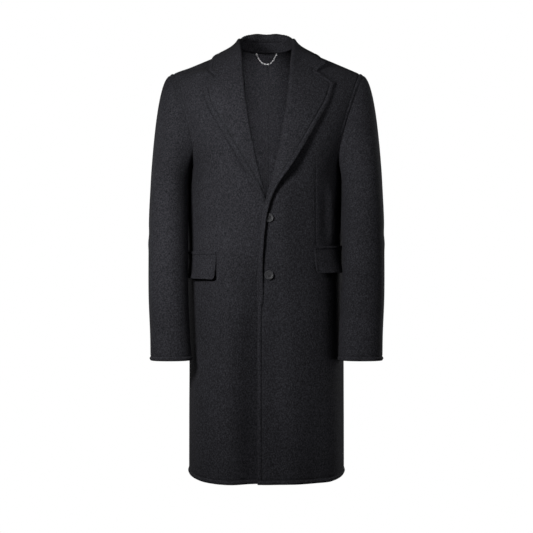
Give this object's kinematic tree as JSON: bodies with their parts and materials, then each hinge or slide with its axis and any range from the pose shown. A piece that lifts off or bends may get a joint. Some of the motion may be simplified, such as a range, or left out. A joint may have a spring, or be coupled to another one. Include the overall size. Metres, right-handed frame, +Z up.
{
  "type": "double-face wool coat",
  "caption": "Knee-length single-breasted wool coat with notched lapels, flap pockets and a hanger chain, filled out as worn with neck, hem and cuffs open.",
  "frame": {"origin": "midway between the neck points of the two shoulder seams, where the wearer's shoulders carry the coat", "axes": "+Z up, the front of the coat faces -Y, +X is the wearer's left"},
  "size_m": [0.5532, 0.3244, 1.0728],
  "materials": {
    "wool": "felted melange wool, charcoal grey",
    "horn": "satin, horn-like dark grey",
    "metal": "bright silver tone"
  },
  "bodies": {
    "root": {"front_left": "wool", "front_right": "wool", "back_left": "wool", "back_right": "wool", "sleeve_top_left": "wool", "sleeve_top_right": "wool", "sleeve_under_left": "wool", "sleeve_under_right": "wool", "lapel_left": "wool", "lapel_right": "wool", "collar_stand": "wool", "collar_leaf": "wool", "pocket_flap_left": "wool", "pocket_flap_right": "wool", "pocket_welt_left": "wool", "pocket_welt_right": "wool", "button_top": "horn", "button_bottom": "horn", "hanger_chain": "metal", "hanger_stud_left": "metal", "hanger_stud_right": "metal"}
  },
  "joints": []
}
